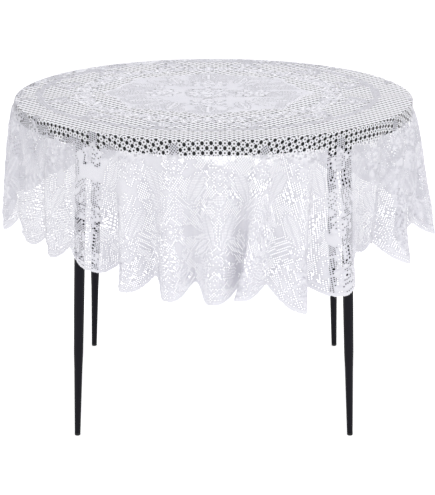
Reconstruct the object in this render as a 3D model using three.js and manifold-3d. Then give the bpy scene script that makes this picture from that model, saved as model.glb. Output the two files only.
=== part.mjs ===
// A scalloped lace tablecloth over a round table on four tapered steel legs.
// Millimetres, +Z up. The origin is on the floor under the middle of the table.
import * as THREE from 'three';
import { mergeVertices } from 'three/addons/utils/BufferGeometryUtils.js';
import Module from 'manifold-3d';

// Driving dimensions
const GAP = 0.3;                        // clearance between pieces that touch
const TABLE_HEIGHT = 750;               // floor to the board's top face
const BOARD_RADIUS = 476.5;
const BOARD_THICKNESS = 34;
const BAND_THICKNESS = 1.6;             // edge band glued round the board
const FOOT_CIRCLE_RADIUS = 456;         // table axis to each foot, at the floor
const LEG_SPLAY = 0.0412;               // outward run of a leg for each unit of drop
const LEG_AZIMUTH = Math.PI / 4;        // the first leg; the others are a quarter turn apart
const TUBE_WALL = 1.5;
const PLATE_SIZE = 90;
const PLATE_THICKNESS = 3;
const PLATE_CORNER = 10;
const SCREW_OFFSET = 33;                // screw to plate centre, along each side
const SHANK_RADIUS = 2;
const HEAD_RADIUS = 4.2;
const HEAD_HEIGHT = 2.4;
const SCREW_LENGTH = 17;
const GLIDE_HEIGHT = 6;                 // foot glide below the end of the tube
const CLOTH_THICKNESS = 1.5;
const SKIRT_WALL = 3;                   // measured radially, so that a fold's flanks keep a wall too
const SKIRT_RADIUS = 480;               // the skirt's inner face where it hangs plumb
const FOLD_COUNT = 28;                  // one fold for each scallop of the hem
const FOLD_DEPTH = 58;                  // crest to valley at the hem
const DROP_AT_TIP = 365;                // tabletop to a scallop's tip
const SCALLOP_DEPTH = 48;               // tip to notch
const ROUND_SEGMENTS = 96;

const boardBottom = TABLE_HEIGHT - BOARD_THICKNESS;
const plateBottom = boardBottom - GAP - PLATE_THICKNESS;
const splayAngle = Math.atan(LEG_SPLAY);
const clothBottom = TABLE_HEIGHT + GAP;
const clothTop = clothBottom + CLOTH_THICKNESS;

// Outer radius of the leg tube against height along the tube: a swage at 190 mm, tapered below it.
const LEG_PROFILE = [
  [GLIDE_HEIGHT + 2 * GAP, 6.9],
  [25, 7.3],
  [165, 9.7],
  [205, 11.1],
  [320, 12.2],
  [420, 12.5],
];

const wasm = await Module();
wasm.setup();

const materials = {
  board: new THREE.MeshStandardMaterial({ color: 0x1b1b1e, roughness: 0.45, metalness: 0 }),
  band: new THREE.MeshStandardMaterial({ color: 0x141416, roughness: 0.5, metalness: 0 }),
  steel: new THREE.MeshStandardMaterial({ color: 0x0d0d12, roughness: 0.38, metalness: 0.3 }),
  screw: new THREE.MeshStandardMaterial({ color: 0x3a3a3d, roughness: 0.35, metalness: 0.9 }),
  glide: new THREE.MeshStandardMaterial({ color: 0x101012, roughness: 0.6, metalness: 0 }),
  lace: new THREE.MeshStandardMaterial({ color: 0xeeeef3, roughness: 0.9, metalness: 0 }),
};

const table = new THREE.Group();

function addMesh(parent, name, geometry, material) {
  const mesh = new THREE.Mesh(geometry, material);
  mesh.name = name;
  parent.add(mesh);
  return mesh;
}

// Booleans

function toSolid(geometry) {
  const bare = geometry.clone();
  bare.deleteAttribute('normal');
  bare.deleteAttribute('uv');
  const merged = mergeVertices(bare, 1e-4);
  return new wasm.Manifold(new wasm.Mesh({
    numProp: 3,
    vertProperties: new Float32Array(merged.attributes.position.array),
    triVerts: new Uint32Array(merged.index.array),
  }));
}

function toGeometry(solid) {
  const mesh = solid.getMesh();
  const geometry = new THREE.BufferGeometry();
  geometry.setAttribute('position', new THREE.BufferAttribute(mesh.vertProperties, 3));
  geometry.setIndex(new THREE.BufferAttribute(mesh.triVerts, 1));
  geometry.computeVertexNormals();
  return geometry;
}

// A solid of revolution about +Z from [radius, height] points.
function lathe(points, segments) {
  const profile = points.map(([radius, height]) => new THREE.Vector2(radius, height));
  return new THREE.LatheGeometry(profile, segments).rotateX(Math.PI / 2);
}

function ring(inner, outer, low, high) {
  const section = [[inner, low], [outer, low], [outer, high], [inner, high], [inner, low]];
  return lathe(section, ROUND_SEGMENTS);
}

// The four corners of the screw pattern, in a plate's own axes.
const screwSpots = [[1, 1], [-1, 1], [-1, -1], [1, -1]].map(([x, y]) => [x * SCREW_OFFSET, y * SCREW_OFFSET]);

// A leg's frame has its x axis pointing outwards and its origin under the leg's top, on the floor.
const legTopRadius = FOOT_CIRCLE_RADIUS - LEG_SPLAY * plateBottom;

function legFrame(index) {
  const azimuth = LEG_AZIMUTH + index * Math.PI / 2;
  return {
    azimuth,
    x: legTopRadius * Math.cos(azimuth),
    y: legTopRadius * Math.sin(azimuth),
  };
}

// Tabletop

function boardGeometry() {
  const disc = lathe([[0, boardBottom], [BOARD_RADIUS, boardBottom], [BOARD_RADIUS, TABLE_HEIGHT], [0, TABLE_HEIGHT]],
    ROUND_SEGMENTS);
  let solid = toSolid(disc);
  const pilotDepth = SCREW_LENGTH - PLATE_THICKNESS + 2;
  for (let leg = 0; leg < 4; leg += 1) {
    const frame = legFrame(leg);
    for (const [x, y] of screwSpots) {
      const pilot = new THREE.CylinderGeometry(SHANK_RADIUS + GAP, SHANK_RADIUS + GAP, 2 * pilotDepth, 10);
      pilot.rotateX(Math.PI / 2);
      pilot.translate(x, y, boardBottom);
      pilot.rotateZ(frame.azimuth);
      pilot.translate(frame.x, frame.y, 0);
      solid = solid.subtract(toSolid(pilot));
    }
  }
  return toGeometry(solid);
}

addMesh(table, 'tabletop_board', boardGeometry(), materials.board);
const bandInner = BOARD_RADIUS + GAP;
addMesh(table, 'edge_band', ring(bandInner, bandInner + BAND_THICKNESS, boardBottom, TABLE_HEIGHT), materials.band);

// Legs

function plateGeometry() {
  const half = PLATE_SIZE / 2;
  const inset = half - PLATE_CORNER;
  const outline = new THREE.Shape();
  const corners = [[inset, inset], [-inset, inset], [-inset, -inset], [inset, -inset]];
  corners.forEach(([x, y], index) => {
    outline.absarc(x, y, PLATE_CORNER, index * Math.PI / 2, (index + 1) * Math.PI / 2, false);
  });
  outline.closePath();
  for (const [x, y] of screwSpots) {
    const hole = new THREE.Path();
    hole.absarc(x, y, SHANK_RADIUS + 2 * GAP, 0, 2 * Math.PI, true);
    outline.holes.push(hole);
  }
  return new THREE.ExtrudeGeometry(outline, { depth: PLATE_THICKNESS, bevelEnabled: false, curveSegments: 5 });
}

function tubeGeometry() {
  const top = plateBottom / Math.cos(splayAngle) - 3 * GAP;
  const outer = [...LEG_PROFILE, [top, LEG_PROFILE.at(-1)[1]]];
  const inner = outer.map(([height, radius]) => [height, radius - TUBE_WALL]).reverse();
  const wall = [...outer, ...inner, outer[0]].map(([height, radius]) => [radius, height]);
  return lathe(wall, 16);
}

// Pan-head wood screw, head down, the underside of its head at z = 0.
function screwGeometry() {
  return lathe([
    [0, -HEAD_HEIGHT],
    [HEAD_RADIUS * 0.7, -HEAD_HEIGHT],
    [HEAD_RADIUS, -HEAD_HEIGHT * 0.4],
    [HEAD_RADIUS, 0],
    [SHANK_RADIUS, 0],
    [SHANK_RADIUS, SCREW_LENGTH - 3],
    [0, SCREW_LENGTH],
  ], 10);
}

// Plastic glide: a head with a rounded rim under the tube, and a stem pushed up into it.
function glideGeometry() {
  return lathe([
    [0, 0],
    [5.4, 0],
    [6.5, 0.6],
    [6.9, 1.8],
    [6.9, GLIDE_HEIGHT],
    [4.2, GLIDE_HEIGHT],
    [3.8, GLIDE_HEIGHT + 12],
    [0, GLIDE_HEIGHT + 12],
  ], 16);
}

function addLeg(index) {
  const frame = legFrame(index);
  const number = index + 1;

  const mounting = new THREE.Group();
  mounting.position.set(frame.x, frame.y, plateBottom);
  mounting.rotation.z = frame.azimuth;
  table.add(mounting);
  addMesh(mounting, `leg_plate_${number}`, plateGeometry(), materials.steel);
  screwSpots.forEach(([x, y], corner) => {
    const screw = addMesh(mounting, `plate_screw_${number}_${corner + 1}`, screwGeometry(), materials.screw);
    screw.position.set(x, y, -GAP);
  });

  const foot = new THREE.Group();
  foot.position.set(FOOT_CIRCLE_RADIUS * Math.cos(frame.azimuth), FOOT_CIRCLE_RADIUS * Math.sin(frame.azimuth), 0);
  foot.rotation.z = frame.azimuth;
  table.add(foot);
  const tube = addMesh(foot, `leg_tube_${number}`, tubeGeometry(), materials.steel);
  tube.rotation.y = -splayAngle;
  addMesh(foot, `foot_glide_${number}`, glideGeometry(), materials.glide);
}

for (let index = 0; index < 4; index += 1) {
  addLeg(index);
}

// Tablecloth: a flat disc on the board, and a fluted skirt that hangs clear of the edge.

// How far open the folds are at a share of the drop, from 0 at the tabletop to 1 at the hem.
function foldOpening(share) {
  return share ** 0.8;
}

function skirtPoint(azimuth, share, outwards) {
  const crest = (1 + Math.cos(FOLD_COUNT * (azimuth + Math.PI / 2))) / 2;
  const radius = SKIRT_RADIUS + FOLD_DEPTH * crest * foldOpening(share) + outwards;
  const drop = DROP_AT_TIP - SCALLOP_DEPTH * (1 - crest) ** 1.5;
  return [radius * Math.cos(azimuth), radius * Math.sin(azimuth), clothTop - share * drop];
}

// A closed wall: the outer and inner faces share one pattern of triangles, and rims join them.
function skirtGeometry() {
  const shares = [0, 0.12, 0.4, 0.7, 1];
  const steps = FOLD_COUNT * 6;
  const rows = shares.length;
  const position = [];
  for (let step = 0; step < steps; step += 1) {
    const azimuth = step / steps * 2 * Math.PI;
    for (const outwards of [SKIRT_WALL, 0]) {
      for (const share of shares) {
        position.push(...skirtPoint(azimuth, share, outwards));
      }
    }
  }
  const index = [];
  const addQuad = (a, b, c, d) => index.push(a, b, c, a, c, d);
  for (let step = 0; step < steps; step += 1) {
    const outer = step * 2 * rows;
    const inner = outer + rows;
    const nextOuter = (step + 1) % steps * 2 * rows;
    const nextInner = nextOuter + rows;
    for (let row = 0; row < rows - 1; row += 1) {
      addQuad(outer + row, outer + row + 1, nextOuter + row + 1, nextOuter + row);
      addQuad(nextInner + row + 1, inner + row + 1, inner + row, nextInner + row);
    }
    addQuad(inner, outer, nextOuter, nextInner);
    addQuad(outer + rows - 1, inner + rows - 1, nextInner + rows - 1, nextOuter + rows - 1);
  }
  const geometry = new THREE.BufferGeometry();
  geometry.setAttribute('position', new THREE.Float32BufferAttribute(position, 3));
  geometry.setIndex(index);
  geometry.computeVertexNormals();
  return geometry;
}

const clothTopRadius = SKIRT_RADIUS - 2 * GAP;
const clothDisc = lathe([[0, clothBottom], [clothTopRadius, clothBottom], [clothTopRadius, clothTop], [0, clothTop]],
  ROUND_SEGMENTS);
addMesh(table, 'cloth_top', clothDisc, materials.lace);
addMesh(table, 'cloth_skirt', skirtGeometry(), materials.lace);

export default table;
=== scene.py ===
# Round lace tablecloth on a table with four splayed steel legs.
# Everything is in metres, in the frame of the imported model.
import bpy
import math
import numpy as np
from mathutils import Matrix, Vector


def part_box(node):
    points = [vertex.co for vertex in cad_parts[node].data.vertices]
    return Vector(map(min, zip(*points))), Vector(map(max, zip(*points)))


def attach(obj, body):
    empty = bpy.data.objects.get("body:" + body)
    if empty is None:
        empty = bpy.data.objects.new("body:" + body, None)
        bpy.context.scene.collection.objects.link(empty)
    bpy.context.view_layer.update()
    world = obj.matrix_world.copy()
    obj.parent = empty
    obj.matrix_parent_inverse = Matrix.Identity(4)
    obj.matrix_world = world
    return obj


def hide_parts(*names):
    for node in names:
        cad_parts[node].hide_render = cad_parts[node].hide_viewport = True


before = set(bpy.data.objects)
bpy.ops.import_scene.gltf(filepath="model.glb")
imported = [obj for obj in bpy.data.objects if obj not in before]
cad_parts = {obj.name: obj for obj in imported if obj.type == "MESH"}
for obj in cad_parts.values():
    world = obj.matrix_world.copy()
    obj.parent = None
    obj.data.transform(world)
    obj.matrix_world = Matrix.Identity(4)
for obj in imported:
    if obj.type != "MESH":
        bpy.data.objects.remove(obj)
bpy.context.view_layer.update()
scene = bpy.context.scene

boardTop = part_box("tabletop_board")[1][2]
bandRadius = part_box("edge_band")[1][0]
print("frame loaded: board top at", round(boardTop, 4), "edge radius", round(bandRadius, 4))


# camera and studio

studio = {
    "cameraPlace": (0.009, -4.578, 1.7035),
    "pitchDown": 16.26,          # degrees
    "lens": 140.07,              # millimetres, on a sensor this wide
    "sensor": 36,
    "floorHalf": 30,
    "floorColour": (0.7, 0.7, 0.7, 1),
    "floorGlow": 0.69,           # stands in for the light a white studio sweep throws back
    "skyStrength": 0.60,
    "lights": {                  # place, what it points at, size and power
        "key": ((-1.6, -2.6, 3.4), (0, 0, 0.6), 2.6, 39),
        "fill": ((2.6, -2.0, 2.2), (0, 0, 0.5), 2.6, 25),
        "top": ((0.2, 0.4, 3.6), (0, 0, 0.7), 2.4, 68),
    },
}


def makeCamera():
    data = bpy.data.cameras.new("camera")
    data.lens = studio["lens"]
    data.sensor_width = studio["sensor"]
    data.clip_end = 60
    camera = bpy.data.objects.new("camera", data)
    camera.location = studio["cameraPlace"]
    camera.rotation_euler = (math.radians(90 - studio["pitchDown"]), 0, 0)
    scene.collection.objects.link(camera)
    scene.camera = camera


def makeSoftLight(name, place, target, size, power):
    data = bpy.data.lights.new(name, "AREA")
    data.shape = "DISK"
    data.size = size
    data.energy = power
    light = bpy.data.objects.new(name, data)
    light.location = place
    light.rotation_euler = (Vector(target) - Vector(place)).to_track_quat("-Z", "Y").to_euler()
    scene.collection.objects.link(light)


def makeStudio():
    scene.view_settings.view_transform = "Standard"
    world = bpy.data.worlds.new("studio")
    world.use_nodes = True
    sky = world.node_tree.nodes["Background"]
    sky.inputs["Color"].default_value = (1, 1, 1, 1)
    sky.inputs["Strength"].default_value = studio["skyStrength"]
    scene.world = world
    mesh = bpy.data.meshes.new("floor")
    half = studio["floorHalf"]
    mesh.from_pydata([(-half, -half, 0), (half, -half, 0), (half, half, 0), (-half, half, 0)], [], [(0, 1, 2, 3)])
    floor = bpy.data.objects.new("floor", mesh)
    scene.collection.objects.link(floor)
    material = bpy.data.materials.new("studio floor")
    material.use_nodes = True
    shader = material.node_tree.nodes["Principled BSDF"]
    shader.inputs["Base Color"].default_value = studio["floorColour"]
    shader.inputs["Roughness"].default_value = 0.9
    shader.inputs["Emission Color"].default_value = (1, 1, 1, 1)
    shader.inputs["Emission Strength"].default_value = studio["floorGlow"]
    mesh.materials.append(material)
    for name, values in studio["lights"].items():
        makeSoftLight(name, *values)


makeCamera()
makeStudio()
print("camera and studio set, lights:", ", ".join(studio["lights"]))


# small helpers for meshes and node trees

def meshObject(name, verts, faces):
    mesh = bpy.data.meshes.new(name)
    mesh.from_pydata(verts, [], faces)
    mesh.update()
    mesh.shade_smooth()
    piece = bpy.data.objects.new(name, mesh)
    scene.collection.objects.link(piece)
    return piece


def addNode(tree, kind, inputs=None, **settings):
    node = tree.nodes.new(kind)
    for key, value in settings.items():
        setattr(node, key, value)
    for key, value in (inputs or {}).items():
        socket = node.inputs[key]
        if isinstance(value, bpy.types.NodeSocket):
            tree.links.new(value, socket)
        else:
            socket.default_value = value
    return node


def addSocket(tree, name, kind, value=None, output=False):
    socket = tree.interface.new_socket(name, in_out="OUTPUT" if output else "INPUT", socket_type=kind)
    if value is not None:
        socket.default_value = value


def setInput(modifier, name, value):
    for item in modifier.node_group.interface.items_tree:
        if item.item_type == "SOCKET" and item.in_out == "INPUT" and item.name == name:
            modifier[item.identifier] = value


def bakeModifiers(piece):
    scene.view_layers[0].update()
    evaluated = piece.evaluated_get(bpy.context.evaluated_depsgraph_get())
    mesh = bpy.data.meshes.new_from_object(evaluated)
    old = piece.data
    piece.modifiers.clear()
    piece.data = mesh
    mesh.name = piece.name
    bpy.data.meshes.remove(old)


def discard(piece):
    mesh = piece.data
    bpy.data.objects.remove(piece)
    bpy.data.meshes.remove(mesh)


# the fine speckle that every finish of the table has

def makeSpeckleGroup():
    tree = bpy.data.node_groups.new("fineSpeckle", "ShaderNodeTree")
    addSocket(tree, "Scale", "NodeSocketFloat", 400)
    addSocket(tree, "Low", "NodeSocketFloat", 0.35)
    addSocket(tree, "High", "NodeSocketFloat", 0.55)
    addSocket(tree, "Value", "NodeSocketFloat", output=True)
    addSocket(tree, "Height", "NodeSocketFloat", output=True)
    start = addNode(tree, "NodeGroupInput")
    coords = addNode(tree, "ShaderNodeTexCoord")
    grain = addNode(tree, "ShaderNodeTexNoise", {"Vector": coords.outputs["Object"], "Scale": start.outputs["Scale"],
                                                 "Detail": 4})
    cloud = addNode(tree, "ShaderNodeTexNoise", {"Vector": coords.outputs["Object"], "Scale": 9, "Detail": 3})
    mix = addNode(tree, "ShaderNodeMath", {0: grain.outputs["Fac"], 1: cloud.outputs["Fac"], 2: 0.1},
                  operation="MULTIPLY_ADD")
    span = addNode(tree, "ShaderNodeMapRange", {"Value": mix.outputs[0], "From Min": 0.15, "From Max": 0.5,
                                                "To Min": start.outputs["Low"], "To Max": start.outputs["High"]})
    end = addNode(tree, "NodeGroupOutput")
    tree.links.new(span.outputs[0], end.inputs["Value"])
    tree.links.new(grain.outputs["Fac"], end.inputs["Height"])
    return tree


speckle = makeSpeckleGroup()


def newMaterial(name, metallic=0.0):
    material = bpy.data.materials.new(name)
    material.use_nodes = True
    tree = material.node_tree
    shader = tree.nodes["Principled BSDF"]
    shader.inputs["Metallic"].default_value = metallic
    return material, tree, shader


def speckled(name, dark, light, low, high, scale, bump, metallic, shine):
    material, tree, shader = newMaterial(name, metallic)
    group = addNode(tree, "ShaderNodeGroup", {"Scale": scale, "Low": low, "High": high}, node_tree=speckle)
    colour = addNode(tree, "ShaderNodeMix", {0: group.outputs["Height"], 6: (*dark, 1), 7: (*light, 1)},
                     data_type="RGBA")
    relief = addNode(tree, "ShaderNodeBump",
                     {"Height": group.outputs["Height"], "Strength": bump, "Distance": 0.0004})
    tree.links.new(colour.outputs[2], shader.inputs["Base Color"])
    tree.links.new(group.outputs["Value"], shader.inputs["Roughness"])
    tree.links.new(relief.outputs["Normal"], shader.inputs["Normal"])
    shader.inputs["Specular IOR Level"].default_value = shine
    return material


# tablecloth: the draped shape

drape = {
    "scallops": 28,
    "tipRadius": 0.832,          # flat, from the middle to a scallop's tip
    "notchDepth": 0.048,         # tip to notch
    "notchShape": 1.1,           # 1 is a plain arch, more rounds the tips
    "middle": (0.015, -0.04),    # the cloth lies a little to the front and the right
    "clearance": 0.0016,         # cloth to the board and the band
    "bend": 0.0032,              # radius where it turns over the edge
    "foldStart": 0.05,           # the folds begin within this distance of the edge
    "deepest": 0.058,            # crest to valley at the hem, at most
    "deepening": 0.75,           # below 1 the folds are nearly as deep higher up
    "settling": 0.7,             # below 1 the crests reach their own places higher up
    "steepest": 0.4,             # the cloth falls by at least this share of its length
    "crestWidth": 2.3,           # 2 is an even wave, more widens the crests
    "ripple": 0.0035,
    "rippleSize": 0.05,
    "stepsPerFold": 30,
    "topRings": (0.02, 0.16, 0.3, 0.42, 0.45, 0.467),
    "edgeRings": (0.0, 0.0009, 0.0018, 0.0027, 0.0037, 0.0046, 0.0055, 0.0085, 0.013),   # from the start of the bend
    "ringStep": 0.007,           # from there down to the hem
    "spare": 0.07,               # the sheet runs on this far past the tips
    "backTurn": 3,               # how much the folds at the back vary: degrees
    "backWidth": (0.7, 1.3),
    "backDepth": (0.7, 1.0),
    "backLean": 0.5,
    "backLift": (0.025, 0.05),
    "seed": 11,
}
# folds counted from the front, one to a scallop, negative to the left: where the crest hangs at the hem (degrees from
# the front), its share of the width, its share of the depth, how far it leans over (1 is 45 degrees) and how much it
# is drawn up (metres)
foldList = {
    -8: (-110, 0.9, 0.8, 0.2, 0.045), -7: (-98, 0.9, 0.8, 0.0, 0.045), -6: (-82, 1.0, 0.6, 0.3, 0.022),
    -5: (-68, 1.4, 1.0, 0.0, 0.04), -4: (-48, 0.6, 0.3, 0.0, 0.05), -3: (-34, 1.2, 0.8, 0.5, 0.052),
    -2: (-18.5, 1.0, 0.9, -0.3, 0.026), -1: (-12.2, 1.1, 1.0, -0.1, 0.022), 0: (2.6, 1.1, 1.0, -0.2, 0.022),
    1: (12.4, 1.0, 1.0, -0.7, 0.026), 2: (15.7, 0.9, 1.0, 0.4, -0.004), 3: (37.5, 1.4, 1.0, 0.4, 0.014),
    4: (46, 0.8, 0.4, 0.0, 0.1), 5: (51, 1.0, 1.0, 0.3, 0.03), 6: (69, 0.8, 0.4, 0.0, 0.09),
    7: (84, 1.0, 1.1, 0.0, 0.026), 8: (101, 1.0, 0.8, 0.1, 0.045),
}
clothHeight = boardTop + drape["clearance"]
sideRadius = bandRadius + drape["clearance"]
bendStart = sideRadius - drape["bend"]
bendEnd = bendStart + drape["bend"] * math.pi / 2


def hemDistance(x, y):
    # flat distance inside the scalloped edge; a tip points at the front
    cx, cy = x - drape["middle"][0], y - drape["middle"][1]
    azimuth = np.arctan2(cy, cx)
    across = np.abs(np.cos(drape["scallops"] * (azimuth + math.pi / 2) / 2))
    return drape["tipRadius"] - drape["notchDepth"] * (1 - across) ** drape["notchShape"] - np.hypot(cx, cy)


def smoothNoise(x, y, size, seed):
    # soft random hills about size metres across, from -1 to 1
    rng = np.random.default_rng(seed)
    hills = rng.uniform(-1, 1, (64, 64))
    u, v = x / size + 31.3, y / size + 29.7
    column, row = np.floor(u).astype(int), np.floor(v).astype(int)
    u, v = u - column, v - row
    u, v = u * u * (3 - 2 * u), v * v * (3 - 2 * v)
    low = hills[column % 64, row % 64] * (1 - u) + hills[(column + 1) % 64, row % 64] * u
    high = hills[column % 64, (row + 1) % 64] * (1 - u) + hills[(column + 1) % 64, (row + 1) % 64] * u
    return low * (1 - v) + high * v


def tipAzimuths():
    # azimuth of every scallop's tip on the flat cloth, seen from the table's middle
    around = np.arange(drape["scallops"]) * 2 * math.pi / drape["scallops"] - math.pi / 2
    x = drape["middle"][0] + drape["tipRadius"] * np.cos(around)
    y = drape["middle"][1] + drape["tipRadius"] * np.sin(around)
    return np.unwrap(np.arctan2(y, x))


def foldValues(tips):
    # the five values of every fold, the crest as an azimuth; the folds at the back are random
    rng = np.random.default_rng(drape["seed"])
    count = drape["scallops"]
    turn, lean = drape["backTurn"], drape["backLean"]
    values = np.column_stack([tips + np.radians(rng.uniform(-turn, turn, count)),
                              rng.uniform(*drape["backWidth"], count), rng.uniform(*drape["backDepth"], count),
                              rng.uniform(-lean, lean, count), rng.uniform(*drape["backLift"], count)])
    for fold, row in foldList.items():
        values[fold % count] = row
        values[fold % count, 0] = math.radians(row[0] - 90) + (2 * math.pi if fold < 0 else 0)
    return values


def betweenCrests(crests, widths):
    # start and end of every fold; wide folds take more of the gap between two crests
    gaps = np.append(crests[1:], crests[0] + 2 * math.pi) - crests
    ends = crests + gaps * widths / (widths + np.roll(widths, -1))
    return np.append(ends[-1] - 2 * math.pi, ends[:-1]), ends


def waveTable():
    # arc length of one fold against its depth, both as shares of its width
    t = np.linspace(0, 1, 97)
    wave = 1 - np.abs(np.cos(math.pi * t)) ** drape["crestWidth"]
    depths = np.linspace(0, 2, 81)
    steps = np.hypot(np.diff(t)[None, :], depths[:, None] * np.diff(wave)[None, :])
    return t, wave, depths, steps.sum(axis=1)


def ringPlan(radius, tips, values, table):
    # plan of one ring of the hanging cloth, folded so that its length stays the flat one
    t, wave, depths, lengths = table
    per = drape["stepsPerFold"]
    down = max(radius - bendEnd, 0)
    share = down / (drape["tipRadius"] - bendEnd)
    turn = min(max((radius - bendStart) / drape["bend"], 0), math.pi / 2)
    base = min(radius, bendStart) + drape["bend"] * math.sin(turn)
    flatStarts, flatEnds = betweenCrests(tips, np.ones(len(tips)))
    settled = share ** drape["settling"]
    starts, ends = betweenCrests(tips + (values[:, 0] - tips) * settled, 1 + (values[:, 1] - 1) * settled)
    onset = min(down / drape["foldStart"], 1)
    onset = onset * onset * (3 - 2 * onset)
    azimuths, distances = [], []
    for fold in range(drape["scallops"]):
        width = base * (ends[fold] - starts[fold])
        length = radius * (flatEnds[fold] - flatStarts[fold])
        depth = min(width * np.interp(length / width, lengths, depths) * onset,
                    drape["deepest"] * share ** drape["deepening"])
        depth = depth * (1 + (values[fold, 2] - 1) * settled)
        path = np.concatenate([[0], np.cumsum(np.hypot(width * np.diff(t), depth * np.diff(wave)))])
        here = np.interp(np.arange(per) / per, path / path[-1], t)
        out = depth * (1 - np.abs(np.cos(math.pi * here)) ** drape["crestWidth"])
        azimuths.append(starts[fold] + (ends[fold] - starts[fold]) * here + values[fold, 3] * out * share / base)
        distances.append(base + out)
    return np.concatenate(azimuths), np.concatenate(distances)


def drapedPlaces(radii):
    tips = tipAzimuths()
    values = foldValues(tips)
    table = waveTable()
    per = drape["stepsPerFold"]
    starts, ends = betweenCrests(tips, np.ones(len(tips)))
    part = np.arange(per) / per
    flatA = (starts[:, None] + (ends - starts)[:, None] * part[None, :]).ravel()
    lift = np.interp(flatA, np.concatenate([[tips[-1] - 2 * math.pi], tips, [tips[0] + 2 * math.pi]]),
                     np.concatenate([values[-1:, 4], values[:, 4], values[:1, 4]]))
    places, flats = [], []
    for number, radius in enumerate(radii):
        azimuth, distance = ringPlan(radius, tips, values, table)
        share = max(radius - bendEnd, 0) / (drape["tipRadius"] - bendEnd)
        ripple = smoothNoise(radius * flatA, radius + 0 * flatA, drape["rippleSize"], drape["seed"])
        distance = distance + drape["ripple"] * share * (1 + ripple)
        x, y = distance * np.cos(azimuth), distance * np.sin(azimuth)
        if radius < bendEnd:
            turn = min(max((radius - bendStart) / drape["bend"], 0), math.pi / 2)
            z = np.full(len(x), clothHeight - drape["bend"] * (1 - math.cos(turn)))
        else:
            step = radius - radii[number - 1]
            moved = np.hypot(x - places[-1][:, 0], y - places[-1][:, 1])
            fall = np.sqrt(np.maximum(step ** 2 - moved ** 2, (drape["steepest"] * step) ** 2))
            last = max(radii[number - 1] - bendEnd, 0) / (drape["tipRadius"] - bendEnd)
            z = places[-1][:, 2] - fall + lift * (share ** 2 - last ** 2)
        places.append(np.column_stack([x, y, z]))
        flats.append(np.column_stack([radius * np.cos(flatA), radius * np.sin(flatA), 0 * flatA]))
    return np.vstack(places), np.vstack(flats)


def makeDrape():
    steps = drape["scallops"] * drape["stepsPerFold"]
    near = bendStart + np.array(drape["edgeRings"])
    low = np.arange(near[-1] + drape["ringStep"], drape["tipRadius"] + drape["spare"], drape["ringStep"])
    radii = np.concatenate([drape["topRings"], near, low])
    places, flats = drapedPlaces(radii)
    centre = len(places)
    places = np.vstack([places, [[0, 0, clothHeight]]])
    flats = np.vstack([flats, [[0, 0, 0]]])
    faces = [(centre, step, (step + 1) % steps) for step in range(steps)]
    for ring in range(len(radii) - 1):
        for step in range(steps):
            after = (step + 1) % steps
            faces.append((ring * steps + step, (ring + 1) * steps + step,
                          (ring + 1) * steps + after, ring * steps + after))
    sheet = meshObject("drape", places.tolist(), faces)
    layer = sheet.data.attributes.new("flat", "FLOAT_VECTOR", "POINT")
    layer.data.foreach_set("vector", flats.ravel())
    return sheet


drapedSheet = makeDrape()
print("drape has", len(drapedSheet.data.vertices), "points")


# tablecloth: the lace pattern

lace = {
    "cellWidth": 0.00337,        # one small mesh; a cell of the round net is three by three of them
    "cellDepth": 0.00363,
    "middle": (-0.014, 0.03),    # where the pattern of the top is centred
    "medallion": 0.236,          # radii of the medallion and of the ring of flowers
    "flowerRing": 0.303,
    "flowers": 24,
    "lineRing": 0.408,
    "netEnd": 0.484,             # the open net reaches this far from the cloth's middle, over the front edge
    "bigHole": (0.0042, 0.0049),       # radii of the net's round hole, across and along
    "holeRim": 0.0006,
    "ringHole": 0.0021,
    "ringCrest": (0.0032, 0.0034),
    "ringFoot": (0.0044, 0.0046),
    "eyelet": 0.0030,
    "cornerCut": 0.0018,
    "selvedge": 0.008,           # solid along the hem
    "widest": 0.75,              # the most open that a mesh can be
    "holeSize": 0.56,            # radius of a fully open mesh, as a share of its width
    "chessFrom": 0.29,           # meshes more open than this are closed in every second place
    "chessGain": 1.8,            # and the others opened by this much
    "closed": 0.03,
    "eyeletFrom": 0.47,          # two by two meshes this open make one eyelet in every second place
    "eyeletFull": 0.6,           # and in every place from here on
    "relief": 0.0008,
    "emboss": 0.0014,            # how far the flowers and leaves stand out
    "medallionCut": 0.27,        # radii at which the cloth is parted into pieces
    "topCut": 0.5,
    "medallionFlat": (0.54, 0.54),     # sides of the rectangle each piece would be cut from
    "topHalfFlat": (0.5, 1.0),
    "goreFlat": (0.832, 0.45),
    "seed": 7,
}


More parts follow.
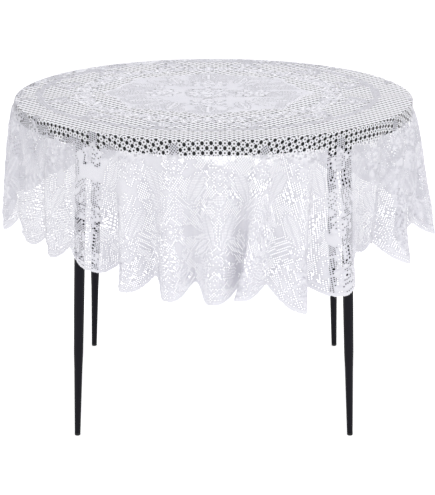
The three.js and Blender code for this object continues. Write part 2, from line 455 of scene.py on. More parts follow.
class Pattern:
    # how open each small mesh is, which way its hole is drawn out, how white its thread is painted and how high it
    # stands. The whiteness is painted light: a painted highlight on solid and raised parts, painted shade on meshes
    # with holes
    def __init__(self, x, y):
        self.x = x
        self.y = y
        self.open = np.zeros_like(x)
        self.lean = np.zeros_like(x)
        self.white = np.zeros_like(x)
        self.rise = np.zeros_like(x)

    def fill(self, mask, value, lean=0.0, white=None, rise=0.0):
        # painted shade on meshes with holes, lighter thread on solid meshes
        if white is None:
            white = np.where(np.asarray(value) > 0.04, 0.2, 0.6)
        self.open = np.where(mask, value, self.open)
        self.lean = np.where(mask, lean, self.lean)
        self.white = np.where(mask, white, self.white)
        self.rise = np.where(mask, rise, self.rise)

    def rose(self, u, v, size, petals, turn=0.0, halo=0.5, white=0.48):
        # a halo of open meshes, then petals edged with openwork round an open heart. The petals' outer edge and the
        # raised inner ring carry a painted highlight, the openwork seams and ring painted shade
        distance = np.hypot(u, v)
        azimuth = np.arctan2(v, u) + turn
        t = distance / (size * (0.82 + 0.18 * np.cos(petals * azimuth)))
        self.fill((t >= 1) & (t < 1 + 0.008 / size), halo)
        dome = 0.35 + 0.65 * np.abs(np.cos(petals * azimuth / 2)) * np.clip(2.4 * (1 - t), 0, 1)
        # painted highlight: the petals' outer edge is painted lighter
        self.fill(t < 1, 0.0, white=np.where(t > 1 - 0.006 / size, white + 0.3, white), rise=dome)
        seam = np.abs(np.sin(petals * azimuth / 2 + 2.2 * t))
        self.fill((t > 0.45) & (t < 0.9) & (seam < 0.22), 0.28, white=0.1, rise=0.2)
        self.fill(np.abs(t - 0.5 - 0.06 * np.cos(petals * azimuth + 1)) < 0.003 / size, 0.34, white=0.1)
        self.fill(np.abs(t - 0.3) < 0.0028 / size, 0.0, white=0.8, rise=0.9)
        self.fill(t < 0.0045 / size, 0.62)

    def leaf(self, u, v, length, width, angle, net):
        # a midrib, a solid edge and netted halves with holes drawn out across the leaf. The solid parts carry a
        # painted highlight, the netted halves painted shade
        along = (u * math.cos(angle) + v * math.sin(angle)) / length
        across = -u * math.sin(angle) + v * math.cos(angle)
        side = width * np.sqrt(np.maximum(1 - along ** 2, 0)) * (1 - 0.25 * along)
        inside = (np.abs(along) < 1) & (np.abs(across) < side)
        around = (np.abs(along) < 1 + 0.005 / length) & (np.abs(across) < side + 0.0045)
        self.fill(around, 0.3)
        self.fill(inside, 0.0, white=0.7, rise=0.9)
        self.fill(inside & (np.abs(across) > 0.0024) & (np.abs(across) < side - 0.0035), net, 0.5,
                  white=0.3, rise=0.3)

    def stem(self, u, v, radius, start, end, width=0.0062):
        distance = np.hypot(u, v)
        azimuth = np.arctan2(v, u) % (2 * math.pi)
        near = (azimuth > start) & (azimuth < end)
        self.fill(near & (np.abs(distance - radius) < width / 2 + 0.004), 0.34)
        # the solid stem carries a painted highlight
        self.fill(near & (np.abs(distance - radius) < width / 2), 0.0, white=0.7, rise=0.9)


def sector(azimuth, distance, count, shift=0.0):
    # across and outwards in one repeat of a ring of count motifs
    turn = ((azimuth * count / (2 * math.pi) + shift) % 1 - 0.5) * 2 * math.pi / count
    return distance * np.sin(turn), distance * np.cos(turn)


ground = {
    "scroll": 0.024,             # size of the scrolls
    "curl": 0.011,               # size of the small curls in them
    "curlShare": 0.35,
    "patch": 0.075,              # size of the open and of the plain patches
    "side": 0.22,                # from this far to either side the ground is more open
    "sideSlope": 2.3,
    "sideMost": 0.25,
    "line": 0.2,                 # half width of the lines of holes
    "net": 0.3,                  # netted above this height of the scrolls
    "fineBelow": -0.5,           # a fine net below this height
    "plainPatch": -0.38,         # plain where the patches are lower than this
    "widePatch": 0.26,           # lines of wide holes from here up
    "widestPatch": 0.6,
    "netPatch": 0.3,
    "widest": 0.62,              # how open each kind of hole is
    "wide": 0.56,
    "netNarrow": 0.36,
    "narrow": 0.34,
    "fine": 0.28,
    "plain": 0.02,
}


def scrollGround(x, y):
    # vermicelli between the motifs: lines of holes along the level lines of soft noise
    hills = smoothNoise(x, y, ground["scroll"], lace["seed"]) \
        + ground["curlShare"] * smoothNoise(x, y, ground["curl"], lace["seed"] + 1)
    aside = np.clip(np.abs(x) - ground["side"], 0, ground["sideMost"])
    patch = smoothNoise(x, y, ground["patch"], lace["seed"] + 5) + ground["sideSlope"] * aside
    line = np.abs(hills) < ground["line"]
    netted = hills > ground["net"]
    wide, narrow, plain = ground["wide"], ground["narrow"], ground["plain"]
    lineHoles = np.where(patch > ground["widestPatch"], ground["widest"],
                         np.where(patch > ground["widePatch"], wide, narrow))
    holes = np.where(line, lineHoles, plain)
    holes = np.where(netted & ~line, np.where(patch > ground["netPatch"], wide, ground["netNarrow"]), holes)
    holes = np.where((hills < ground["fineBelow"]) & (patch > 0), ground["fine"], holes)
    holes = np.where((holes < 0.1) & (hills < 0) & (patch > ground["netPatch"]), narrow, holes)
    return np.where(patch < ground["plainPatch"], plain, holes)


def medallionEdge(azimuth):
    # eight rounded lobes, with a shallow one between each two
    return lace["medallion"] + 0.011 * np.cos(8 * azimuth) + 0.005 * np.cos(16 * azimuth)


topMotifs = {
    "cornerLeaf": (0.172, 0.04, 0.014, 0.3),     # from the middle, half length, half width, how open
    "cornerLeans": (-0.55, 0, 0.55),
    "axisRose": (0.112, 0.042, 6),               # from the middle, size, petals
    "axisLeaf": (0.195, 0.03, 0.016, 0.4),
    "centreRose": (0.05, 8),
    "medallionRim": 0.0045,                      # half width
    "chainGround": (0.034, 0.56),                # half width of the ring of flowers, how open between them
    "chainRose": (0.028, 5),
    "chainLeaf": (0.022, 0.0095, 0.2),
    "sprayRose": (0.363, 0.019, 5),
    "sprayGround": (0.345, 0.39, 0.395, 0.75),   # from, to, apex and slope of the triangle it stands on
    "line": (0.0058, 0.004),                     # half width and waviness of the line round the top
}
upright = math.pi / 2


def topPattern(p, azimuth, distance):
    px, py = p.x - lace["middle"][0], p.y - lace["middle"][1]
    # the medallion's solid ground is painted darker: painted shade
    p.fill(distance < medallionEdge(azimuth), np.where(scrollGround(p.x, p.y) > 0.3, 0.25, 0.03), white=0.36)
    cornerPlace, cornerLength, cornerWidth, cornerNet = topMotifs["cornerLeaf"]
    rosePlace, roseSize, rosePetals = topMotifs["axisRose"]
    leafPlace, leafLength, leafWidth, leafNet = topMotifs["axisLeaf"]
    for turn in range(4):
        angle = turn * math.pi / 2
        side = angle + math.pi / 4
        for lean in topMotifs["cornerLeans"]:
            toward = side + lean * 0.5
            p.leaf(px - cornerPlace * math.cos(toward), py - cornerPlace * math.sin(toward),
                   cornerLength, cornerWidth, side + lean, cornerNet)
        p.rose(px - rosePlace * math.cos(angle), py - rosePlace * math.sin(angle), roseSize, rosePetals, angle)
        p.leaf(px - leafPlace * math.cos(angle), py - leafPlace * math.sin(angle), leafLength, leafWidth, angle,
               leafNet)
    p.rose(px, py, *topMotifs["centreRose"])
    p.fill(np.abs(distance - medallionEdge(azimuth)) < topMotifs["medallionRim"], 0.02, white=0.5, rise=0.6)
    # the ring of flowers, with a leaf between each two
    u, v = sector(azimuth, distance, lace["flowers"])
    half, net = topMotifs["chainGround"]
    p.fill(np.abs(distance - lace["flowerRing"]) < half, net)
    # the ring's flowers are painted lighter: painted highlight
    p.rose(u, v - lace["flowerRing"], *topMotifs["chainRose"], upright, 0.62, 0.9)
    u, v = sector(azimuth, distance, lace["flowers"], 0.5)
    length, width, net = topMotifs["chainLeaf"]
    p.leaf(u, v - lace["flowerRing"], length, width, upright, net)
    # a small spray outside every second flower, and a wavy line round them all
    u, v = sector(azimuth, distance, lace["flowers"] // 2)
    start, end, apex, slope = topMotifs["sprayGround"]
    p.fill((v > start) & (v < end) & (np.abs(u) < (apex - v) * slope), 0.05)
    place, size, petals = topMotifs["sprayRose"]
    # the spray's rose is painted lighter: painted highlight
    p.rose(u, v - place, size, petals, upright, 0.5, 0.9)
    half, wave = topMotifs["line"]
    p.fill(np.abs(distance - lace["lineRing"] - wave * np.cos(48 * azimuth)) < half, 0.3)


# motifs of the skirt in the order they are laid down, two scallops to a repeat: kind, how far to either side of the
# repeat's middle line (0 is one motif on the line) and how far down from the net, then the motif's own values.
# rose: size, petals. leaf: half length, half width, angle in degrees, how open. stem: radius, start, end.
# fan: reach, then half length, half width and how open each of its leaves is
skirtMotifs = {
    0.0: [                       # on the repeat's own middle line
        ("stem", 0.036, 0.120, (0.03, 0.2, 4.0)),
        ("leaf", 0.066, 0.062, (0.040, 0.019, 55, 0.28)),
        ("rose", 0, 0.036, (0.034, 6)),
        ("leaf", 0.024, 0.165, (0.044, 0.017, 112, 0.28)),
        ("leaf", 0.058, 0.205, (0.038, 0.016, 28, 0.42)),
        ("rose", 0, 0.238, (0.034, 7)),
    ],
    0.5: [                       # half a repeat on
        ("rose", 0, 0.022, (0.026, 5)),
        ("fan", 0, 0.085, (0.04, 0.034, 0.0095, 0.3)),
        ("rose", 0, 0.172, (0.031, 6)),
        ("stem", 0.03, 0.215, (0.032, 0.1, 3.0)),
        ("leaf", 0, 0.255, (0.040, 0.020, 90, 0.5)),
    ],
}
fanLeans = (-50, -25, 0, 25, 50)   # degrees
hem = {
    "rose": (0.052, 0.027, 5),   # in from the tips, size, petals
    "leaf": (0.045, 0.075, 0.026, 0.010, 100, 0.3),   # to either side, in, half length, half width, angle, how open
    "border": 0.024,             # width of the dense border
    "openwork": 0.012,           # size of the open spots in it
    "holes": (0.0125, 0.0018),   # the line of holes: in from the edge, half width
    "edge": 0.0095,              # solid from here out
}


def skirtPattern(p, azimuth, distance, edge):
    count = drape["scallops"]
    p.fill(distance > lace["netEnd"], scrollGround(p.x, p.y))
    for shift, motifs in skirtMotifs.items():
        u, v = sector(azimuth, distance, count // 2, shift)
        w = v - lace["netEnd"]
        for kind, aside, down, values in motifs:
            across = np.abs(u) - aside if aside else u
            if kind == "rose":
                p.rose(across, w - down, *values, upright)
            elif kind == "leaf":
                p.leaf(across, w - down, values[0], values[1], math.radians(values[2]), values[3])
            elif kind == "stem":
                p.stem(across, w - down, *values)
            else:
                reach, length, width, net = values
                for lean in fanLeans:
                    angle = math.radians(90 + lean)
                    p.leaf(across - reach * math.cos(angle), w - down - reach * math.sin(angle),
                           length, width, angle, net)
    # hem: a small rose in every scallop, then a dense border with openwork
    u, v = sector(azimuth, distance, count, 0.5)
    inward, size, petals = hem["rose"]
    p.rose(u, v - drape["tipRadius"] + inward, size, petals, upright)
    aside, inward, length, width, angle, net = hem["leaf"]
    p.leaf(np.abs(u) - aside, v - drape["tipRadius"] + inward, length, width, math.radians(angle), net)
    spots = smoothNoise(p.x, p.y, hem["openwork"], lace["seed"] + 2) > 0.2
    p.fill(edge < hem["border"], 0.04 + 0.3 * spots)
    p.fill(np.abs(edge - hem["holes"][0]) < hem["holes"][1], 0.3)
    p.fill(edge < hem["edge"], 0.0)


def openness(x, y):
    p = Pattern(x, y)
    px, py = x - lace["middle"][0], y - lace["middle"][1]
    p.fill(p.open < 1, 0.4)      # net everywhere, before the motifs
    topPattern(p, np.arctan2(py, px), np.hypot(px, py))
    cx, cy = x - drape["middle"][0], y - drape["middle"][1]
    skirtPattern(p, np.arctan2(cy, cx), np.hypot(cx, cy), hemDistance(x, y))
    return p


netRoom = {                      # how the net makes room for what lies beside it and in it
    "medallion": 0.005,
    "lineInside": 0.009,
    "lineOutside": 0.01,
    "flower": 0.028,
    "leaf": (0.012, 0.024),      # half width, half length
    "spray": (0.34, 0.398, 0.402, 0.8, 0.004),   # from, to, apex, slope and margin
    "skirtRose": (0.03, 0.012),  # height above the net's end, half width
    "wave": 0.007,               # of the net's lower edge, one to a scallop
}


def inNet(x, y):
    # the open net of round holes and small rings
    px, py = x - lace["middle"][0], y - lace["middle"][1]
    d, a = np.hypot(px, py), np.arctan2(py, px)
    inside = (d > medallionEdge(a) + netRoom["medallion"]) & (d < lace["lineRing"] - netRoom["lineInside"])
    u, v = sector(a, d, lace["flowers"])
    flower = np.hypot(u, v - lace["flowerRing"]) < netRoom["flower"]
    u, v = sector(a, d, lace["flowers"], 0.5)
    halfWidth, halfLength = netRoom["leaf"]
    leaf = (np.abs(u) < halfWidth) & (np.abs(v - lace["flowerRing"]) < halfLength)
    u, v = sector(a, d, lace["flowers"] // 2)
    start, end, apex, slope, margin = netRoom["spray"]
    spray = (v > start) & (v < end) & (np.abs(u) < (apex - v) * slope + margin)
    cx, cy = x - drape["middle"][0], y - drape["middle"][1]
    around, angle = np.hypot(cx, cy), np.arctan2(cy, cx)
    u, v = sector(angle, around, drape["scallops"] // 2, 0.5)
    above, halfWidth = netRoom["skirtRose"]
    rose = (v > lace["netEnd"] - above) & (np.abs(u) < halfWidth)
    lowerEdge = lace["netEnd"] + netRoom["wave"] * np.cos(drape["scallops"] * angle)
    overEdge = (d > lace["lineRing"] + netRoom["lineOutside"]) & (around < lowerEdge)
    return (inside & ~flower & ~leaf & ~spray) | (overEdge & ~rose)


# tablecloth: the lace itself, one tile to each mesh of the pattern

laceNames = ["lace_medallion", "lace_top_left", "lace_top_right"] + [f"lace_skirt_gore_{n}" for n in range(1, 7)]


def pieceOf(x, y):
    # which lace piece a mesh belongs to: the medallion, the two halves of the top, six gores of skirt
    distance = np.hypot(x, y)
    gore = 3 + np.floor(((np.arctan2(y, x) + math.pi * 2 / 3) % (2 * math.pi)) / (math.pi / 3)).astype(int)
    return np.where(distance < lace["medallionCut"], 0,
                    np.where(distance < lace["topCut"], np.where(x < 0, 1, 2), gore))


def laceCells():
    # every mesh of the flat cut: corner column and row, span, kind, hole radii, look and the piece it belongs to
    # kind 0 is solid, 1 a small hole, 2 an eyelet, 3 a round hole of the net, 4 a ring of the net
    width, depth = lace["cellWidth"], lace["cellDepth"]
    reach = drape["tipRadius"] + drape["spare"]
    halfX, halfY = 6 * (int(reach / (6 * width)) + 1), 6 * (int(reach / (6 * depth)) + 1)
    xs = (np.arange(2 * halfX + 1) - halfX) * width
    ys = (np.arange(2 * halfY + 1) - halfY) * depth
    x, y = np.meshgrid((xs[1:] + xs[:-1]) / 2, (ys[1:] + ys[:-1]) / 2, indexing="ij")
    edge = hemDistance(x, y)
    p = openness(x, y)
    share = np.where(edge < lace["selvedge"], 0, np.clip(p.open, 0, lace["widest"]))
    net = inNet(x[1::3, 1::3], y[1::3, 1::3])
    free = (edge > 0) & ~np.repeat(np.repeat(net, 3, axis=0), 3, axis=1)

    def leastOfFour(grid):
        # the least of each two by two meshes
        return np.min(grid.reshape(grid.shape[0] // 2, 2, grid.shape[1] // 2, 2), axis=(1, 3))

    # wide openings only in every second place, like the squares of a chessboard, and the small ones too
    i, j = np.indices(share.shape)
    wide = leastOfFour(np.where(free, share, 0)) > lace["eyeletFrom"]
    second = (i[::2, ::2] + j[::2, ::2]) // 2 % 2 == 0
    eyelet = wide & (second | (leastOfFour(share) > lace["eyeletFull"]))
    free &= ~np.repeat(np.repeat(eyelet, 2, axis=0), 2, axis=1)
    closed = np.repeat(np.repeat(wide, 2, axis=0), 2, axis=1) | ((i + j) % 2 == 1)
    opened = np.clip(share * lace["chessGain"], 0, lace["widest"])
    share = np.where(share > lace["chessFrom"], np.where(closed, lace["closed"], opened), share)
    column, row, span, kind, holes, look, middle = [], [], [], [], [], [], []
    radius = np.sqrt(share) * lace["holeSize"] * width
    for size, mask, number in ((1, free, None), (2, eyelet, 2), (3, net, 3)):
        i, j = np.nonzero(mask)
        column.append(i * size)
        row.append(j * size)
        span.append(np.full(len(i), size))
        middle.append(np.column_stack([xs[i * size] + size * width / 2, ys[j * size] + size * depth / 2]))
        if size == 1:
            kind.append(np.where(share[i, j] > 0.04, 1, 0))
            r, slant = radius[i, j], p.lean[i, j]
            holes.append(np.column_stack([r * (1 + 0.1 * slant), r * (1 - 0.4 * slant), 0 * r]))
            look.append(np.column_stack([p.white[i, j], p.rise[i, j], 0 * r]))
        else:
            kind.append(number + (i + j) % 2 if size == 3 else np.full(len(i), number))
            holes.append(np.zeros((len(i), 3)))
            # painted light: the net's rings and round holes get the lightest thread as a painted highlight, the
            # eyelets dark thread as painted shade
            look.append(np.tile([1.0 if size == 3 else 0.15, 0.0, 0.0], (len(i), 1)))
    middle = np.vstack(middle)
    return (xs, ys, np.concatenate(column), np.concatenate(row), np.concatenate(span), np.concatenate(kind),
            np.vstack(holes), np.vstack(look), pieceOf(middle[:, 0], middle[:, 1]))


def cellMesh(name, xs, ys, column, row, span, kind, holes, look):
    rows = len(ys)
    corners = np.column_stack([column * rows + row, (column + span) * rows + row,
                               (column + span) * rows + row + span, column * rows + row + span])
    keys, faces = np.unique(corners, return_inverse=True)
    x, y = xs[keys // rows], ys[keys % rows]
    cx, cy = drape["middle"]
    distance = np.hypot(x - cx, y - cy)
    shrink = 1 + np.minimum(hemDistance(x, y), 0) / distance
    places = np.column_stack([cx + (x - cx) * shrink, cy + (y - cy) * shrink, 0 * x])
    piece = meshObject(name, places.tolist(), faces.reshape(-1, 4).tolist())
    layer = piece.data.attributes.new("kind", "INT", "FACE")
    layer.data.foreach_set("value", kind)
    layer = piece.data.attributes.new("hole", "FLOAT_VECTOR", "FACE")
    layer.data.foreach_set("vector", holes.ravel())
    layer = piece.data.attributes.new("look", "FLOAT_VECTOR", "FACE")
    layer.data.foreach_set("vector", look.ravel())
    return piece


def tileMesh(name, outer, rings, sides=8):
    # a flat tile with a round hole; rings go inwards as (x radius, y radius, lift), None leaves the hole to be opened
    verts = [(x, y, 0) for x, y in outer]
    lifts = [0.0] * len(outer)
    moves = [(0.0, 0.0, 0.0)] * len(outer)
    turns = [(side + 0.5) / sides * 2 * math.pi for side in range(sides)]
    for across, along, lift in rings:
        for turn in turns:
            opened = across is None
            moves.append((math.cos(turn), math.sin(turn), 0) if opened else (0.0, 0.0, 0.0))
            verts.append((0, 0, 0) if opened else (across * math.cos(turn), along * math.sin(turn), 0))
            lifts.append(lift)
    first = len(outer)
    outerTurns = [math.atan2(y, x) % (2 * math.pi) for x, y in outer]
    stops = sorted([(turn, 0, number) for number, turn in enumerate(outerTurns)]
                   + [(turn, 1, number) for number, turn in enumerate(turns)])
    lastOuter = max(range(first), key=lambda number: outerTurns[number])
    lastInner = sides - 1
    faces = []
    for turn, inner, number in stops:
        if inner:
            faces.append((first + lastInner, lastOuter, first + number))
            lastInner = number
        else:
            faces.append((lastOuter, number, first + lastInner))
            lastOuter = number
    for ring in range(len(rings) - 1):
        base = first + ring * sides
        for side in range(sides):
            after = (side + 1) % sides
            faces.append((base + side, base + after, base + sides + after, base + sides + side))
    tile = meshObject(name, verts, faces)
    layer = tile.data.attributes.new("lift", "FLOAT", "POINT")
    layer.data.foreach_set("value", lifts)
    layer = tile.data.attributes.new("opening", "FLOAT_VECTOR", "POINT")
    layer.data.foreach_set("vector", np.array(moves, dtype=float).ravel())
    return tile


def tileOutline(span, cut=0.0):
    # outline of a tile of span by span meshes, with a point at every mesh corner; the tile's corners may be cut off
    width, depth = lace["cellWidth"], lace["cellDepth"]
    side = []
    for step in range(1, span):
        side.append((width * span / 2, depth * (step - span / 2)))
    far = depth * span / 2
    corners = [(width * span / 2, far - cut), (width * span / 2 - cut, far)] if cut else [(width * span / 2, far)]
    top = [(width * (span / 2 - step), far) for step in range(1, span)]
    quarter = side + corners + top
    if cut:
        return quarter + [(cut - width * span / 2, far), (-width * span / 2, far - cut)] + \
            [(-x, -y) for x, y in quarter] + [(width * span / 2 - cut, -far), (width * span / 2, cut - far)]
    return quarter + [(-width * span / 2, far)] + [(-x, -y) for x, y in quarter] + [(width * span / 2, -far)]


def makeTiles():
    holeX, holeY = lace["bigHole"]
    rim, ring, eyelet = lace["holeRim"], lace["ringHole"], lace["eyelet"]
    netOutline = tileOutline(3, lace["cornerCut"])
    return {
        "Mesh Tile": tileMesh("meshTile", tileOutline(1), [(None, None, 0.5)], 6),
        "Eyelet Tile": tileMesh("eyeletTile", tileOutline(2), [(eyelet, eyelet, 0.5)], 8),
        "Hole Tile": tileMesh("holeTile", netOutline, [(holeX + rim, holeY + rim, 0.4), (holeX, holeY, -0.3)], 12),
        "Ring Tile": tileMesh("ringTile", netOutline,
                              [(*lace["ringFoot"], 0.1), (*lace["ringCrest"], 1.0), (ring, ring, -0.1)], 10),
    }


def hangOnDrape(tree, geometry, drapeSocket):
    # stores the flat place as the UV map, then moves every point to where the draped sheet has it
    place = addNode(tree, "GeometryNodeInputPosition")
    flat = addNode(tree, "GeometryNodeInputNamedAttribute", {"Name": "flat"}, data_type="FLOAT_VECTOR")
    uv = addNode(tree, "GeometryNodeStoreNamedAttribute",
                 {"Geometry": geometry, "Name": "UVMap", "Value": place.outputs[0]},
                 data_type="FLOAT2", domain="CORNER")
    sheet = addNode(tree, "GeometryNodeObjectInfo", {"Object": drapeSocket})
    sample = addNode(tree, "GeometryNodeSampleUVSurface",
                     {"Mesh": sheet.outputs["Geometry"], "Value": place.outputs[0],
                      "Source UV Map": flat.outputs[0], "Sample UV": place.outputs[0]}, data_type="FLOAT_VECTOR")
    return addNode(tree, "GeometryNodeSetPosition", {"Geometry": uv.outputs[0], "Position": sample.outputs[0]})


def makeLaceTree():
    tree = bpy.data.node_groups.new("laceWork", "GeometryNodeTree")
    addSocket(tree, "Geometry", "NodeSocketGeometry", output=True)
    addSocket(tree, "Geometry", "NodeSocketGeometry")
    for name in ("Drape", "Mesh Tile", "Eyelet Tile", "Hole Tile", "Ring Tile"):
        addSocket(tree, name, "NodeSocketObject")
    addSocket(tree, "Hole Scale", "NodeSocketFloat", 1.0)
    addSocket(tree, "Relief", "NodeSocketFloat", 0.0008)
    addSocket(tree, "Emboss", "NodeSocketFloat", 0.0012)
    addSocket(tree, "Material", "NodeSocketMaterial")
    start = addNode(tree, "NodeGroupInput")
    kind = addNode(tree, "GeometryNodeInputNamedAttribute", {"Name": "kind"}, data_type="INT")
    opening = addNode(tree, "GeometryNodeInputNamedAttribute", {"Name": "opening"}, data_type="FLOAT_VECTOR")
    hole = addNode(tree, "GeometryNodeInputNamedAttribute", {"Name": "hole"}, data_type="FLOAT_VECTOR")
    lift = addNode(tree, "GeometryNodeInputNamedAttribute", {"Name": "lift"}, data_type="FLOAT")
    look = addNode(tree, "GeometryNodeInputNamedAttribute", {"Name": "look"}, data_type="FLOAT_VECTOR")
    motif = addNode(tree, "ShaderNodeSeparateXYZ", {"Vector": look.outputs[0]})

    def isKind(number):
        same = addNode(tree, "FunctionNodeCompare", {2: kind.outputs[0], 3: number}, data_type="INT",
                       operation="EQUAL")
        return same.outputs[0]

    solid = addNode(tree, "GeometryNodeSeparateGeometry",
                    {"Geometry": start.outputs["Geometry"], "Selection": isKind(0)}, domain="FACE")
    join = addNode(tree, "GeometryNodeJoinGeometry", {"Geometry": solid.outputs["Selection"]})
    for number, tile in enumerate(("Mesh Tile", "Eyelet Tile", "Hole Tile", "Ring Tile"), start=1):
        points = addNode(tree, "GeometryNodeMeshToPoints",
                         {"Mesh": start.outputs["Geometry"], "Selection": isKind(number)}, mode="FACES")
        shape = addNode(tree, "GeometryNodeObjectInfo", {"Object": start.outputs[tile]})
        copies = addNode(tree, "GeometryNodeInstanceOnPoints",
                         {"Points": points.outputs[0], "Instance": shape.outputs["Geometry"]})
        real = addNode(tree, "GeometryNodeRealizeInstances", {"Geometry": copies.outputs[0]})
        tree.links.new(real.outputs[0], join.inputs["Geometry"])
    shift = addNode(tree, "ShaderNodeVectorMath", {0: opening.outputs[0], 1: hole.outputs[0]}, operation="MULTIPLY")
    size = addNode(tree, "ShaderNodeVectorMath", {0: shift.outputs[0], "Scale": start.outputs["Hole Scale"]},
                   operation="SCALE")
    opened = addNode(tree, "GeometryNodeSetPosition", {"Geometry": join.outputs[0], "Offset": size.outputs[0]})
    merged = addNode(tree, "GeometryNodeMergeByDistance", {"Geometry": opened.outputs[0], "Distance": 0.00002})
    hung = hangOnDrape(tree, merged.outputs[0], start.outputs["Drape"])
    normal = addNode(tree, "GeometryNodeInputNormal")
    motifHeight = addNode(tree, "ShaderNodeMath", {0: motif.outputs[1], 1: start.outputs["Emboss"]},
                          operation="MULTIPLY")
    height = addNode(tree, "ShaderNodeMath", {0: lift.outputs[0], 1: start.outputs["Relief"],
                                              2: motifHeight.outputs[0]}, operation="MULTIPLY_ADD")
    rise = addNode(tree, "ShaderNodeVectorMath", {0: normal.outputs[0], "Scale": height.outputs[0]},
                   operation="SCALE")
    raised = addNode(tree, "GeometryNodeSetPosition", {"Geometry": hung.outputs[0], "Offset": rise.outputs[0]})
    real = addNode(tree, "GeometryNodeRealizeInstances", {"Geometry": raised.outputs[0]})
    coloured = addNode(tree, "GeometryNodeSetMaterial",
                       {"Geometry": real.outputs[0], "Material": start.outputs["Material"]})
    addNode(tree, "NodeGroupOutput", {"Geometry": coloured.outputs[0]})
    return tree


thread = {
    # the thread runs from a painted shade colour to a painted light colour
    "shade": (0.54, 0.535, 0.605),
    "light": (0.965, 0.96, 0.995),
    "translucence": 0.24,
    "wales": 320,                # wave scales of the knit, across and along
    "courses": 240,
    "cloud": 14,                 # scale of the slow change of tone
    "whiteGain": 0.6,            # how much the painted highlight lightens the flowers and the net, against the painted shade
    "whiteBase": 0.1,
    "roughness": (0.62, 0.85),
    "bump": 0.35,
    "shine": 0.3,
}


def makeLaceMaterial():
    material, tree, shader = newMaterial("white lace thread")
    uv = addNode(tree, "ShaderNodeUVMap", uv_map="UVMap")
    wale = addNode(tree, "ShaderNodeTexWave",
                   {"Vector": uv.outputs[0], "Scale": thread["wales"], "Distortion": 1.5,
                    "Detail": 1, "Detail Scale": 2}, bands_direction="X")
    course = addNode(tree, "ShaderNodeTexWave",
                     {"Vector": uv.outputs[0], "Scale": thread["courses"], "Distortion": 1.0,
                      "Detail": 1, "Detail Scale": 2}, bands_direction="Y")
    knit = addNode(tree, "ShaderNodeMath", {0: wale.outputs["Fac"], 1: course.outputs["Fac"]}, operation="MULTIPLY")
    cloud = addNode(tree, "ShaderNodeTexNoise", {"Vector": uv.outputs[0], "Scale": thread["cloud"], "Detail": 3})
    look = addNode(tree, "ShaderNodeAttribute", attribute_name="look")
    white = addNode(tree, "ShaderNodeSeparateXYZ", {"Vector": look.outputs["Vector"]})
    # painted light and shade: the pattern's whiteness mixes the thread between its shade and light colours; the
    # knit's texture and a slow change of tone add to it
    base = addNode(tree, "ShaderNodeMath", {0: white.outputs[0], 1: thread["whiteGain"], 2: thread["whiteBase"]},
                   operation="MULTIPLY_ADD")
    blend = addNode(tree, "ShaderNodeMath", {0: knit.outputs[0], 1: cloud.outputs["Fac"], 2: base.outputs[0]},
                    operation="MULTIPLY_ADD")
    colour = addNode(tree, "ShaderNodeMix", {0: blend.outputs[0], 6: (*thread["shade"], 1), 7: (*thread["light"], 1)},
                     data_type="RGBA")
    rough = addNode(tree, "ShaderNodeMapRange", {"Value": knit.outputs[0], "To Min": thread["roughness"][0],
                                                 "To Max": thread["roughness"][1]})
    bump = addNode(tree, "ShaderNodeBump", {"Height": knit.outputs[0], "Strength": thread["bump"],
                                            "Distance": 0.0004})
    through = addNode(tree, "ShaderNodeBsdfTranslucent", {"Color": colour.outputs[2]})
    mix = addNode(tree, "ShaderNodeMixShader",
                  {0: thread["translucence"], 1: shader.outputs[0], 2: through.outputs[0]})
    tree.links.new(colour.outputs[2], shader.inputs["Base Color"])
    tree.links.new(rough.outputs[0], shader.inputs["Roughness"])
    tree.links.new(bump.outputs[0], shader.inputs["Normal"])
    tree.links.new(mix.outputs[0], tree.nodes["Material Output"].inputs["Surface"])
    shader.inputs["Specular IOR Level"].default_value = thread["shine"]
    return material


def flatArea(piece):
    # area of the cut piece, its holes left out, from the flat places in the UV map
    mesh = piece.data
    uv = np.empty(2 * len(mesh.loops), dtype=np.float32)
    mesh.uv_layers["UVMap"].data.foreach_get("uv", uv)
    uv = uv.reshape(-1, 2).astype(float)
    starts = np.empty(len(mesh.polygons), dtype=np.int32)
    mesh.polygons.foreach_get("loop_start", starts)
    following = np.arange(1, len(uv) + 1)
    following[np.append(starts[1:], len(uv)) - 1] = starts
    cross = uv[:, 0] * uv[following, 1] - uv[following, 0] * uv[:, 1]
    return float(np.abs(np.add.reduceat(cross, starts)).sum() / 2)


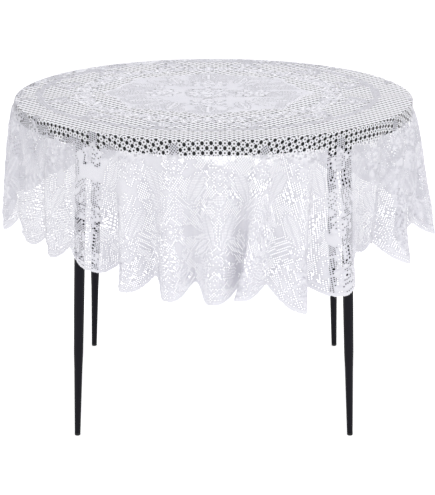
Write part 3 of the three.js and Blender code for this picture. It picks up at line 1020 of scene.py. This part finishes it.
def makeLace():
    xs, ys, column, row, span, kind, holes, look, pieceNumber = laceCells()
    tiles = makeTiles()
    tree = makeLaceTree()
    material = makeLaceMaterial()
    for number, name in enumerate(laceNames):
        mine = pieceNumber == number
        piece = cellMesh(name, xs, ys, column[mine], row[mine], span[mine], kind[mine], holes[mine], look[mine])
        work = piece.modifiers.new("lace", "NODES")
        work.node_group = tree
        setInput(work, "Drape", drapedSheet)
        for tileName, tile in tiles.items():
            setInput(work, tileName, tile)
        setInput(work, "Relief", lace["relief"])
        setInput(work, "Emboss", lace["emboss"])
        setInput(work, "Material", material)
        bakeModifiers(piece)
        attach(piece, "cloth")
        area = flatArea(piece)
        triangles = len(piece.data.loops) - 2 * len(piece.data.polygons)
        print(name, "has", triangles, "triangles, flat area", round(area, 4))
    for tile in tiles.values():
        discard(tile)
    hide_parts("cloth_top")
    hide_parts("cloth_skirt")


makeLace()
discard(drapedSheet)


# table: finishes on the carried-over pieces, found by the first word of a node's name

finishes = {                     # dark and light, least and most roughness, grain, bump, metallic, shine
    "tabletop": ("black laminate", (0.012, 0.012, 0.014), (0.02, 0.02, 0.022), 0.38, 0.52, 900, 0.15, 0.0, 0.3),
    "edge": ("black edge band", (0.010, 0.010, 0.012), (0.018, 0.018, 0.02), 0.4, 0.55, 700, 0.2, 0.0, 0.3),
    "leg": ("black powder coat", (0.002, 0.0018, 0.0045), (0.0045, 0.0042, 0.0095), 0.4, 0.55, 1400, 0.25, 0.0, 0.14),
    "plate": ("zinc screw", (0.32, 0.32, 0.33), (0.5, 0.5, 0.5), 0.3, 0.5, 1200, 0.2, 1.0, 0.3),
    "foot": ("moulded glide", (0.008, 0.008, 0.009), (0.02, 0.02, 0.02), 0.5, 0.7, 1000, 0.3, 0.0, 0.3),
}


def dressTable():
    materials = {word: speckled(*values) for word, values in finishes.items()}
    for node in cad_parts:
        material = materials.get(node.split("_")[0])
        if material:
            bpy.data.objects[node].material_slots[0].material = material


dressTable()
print("table dressed with", len(finishes), "finishes")
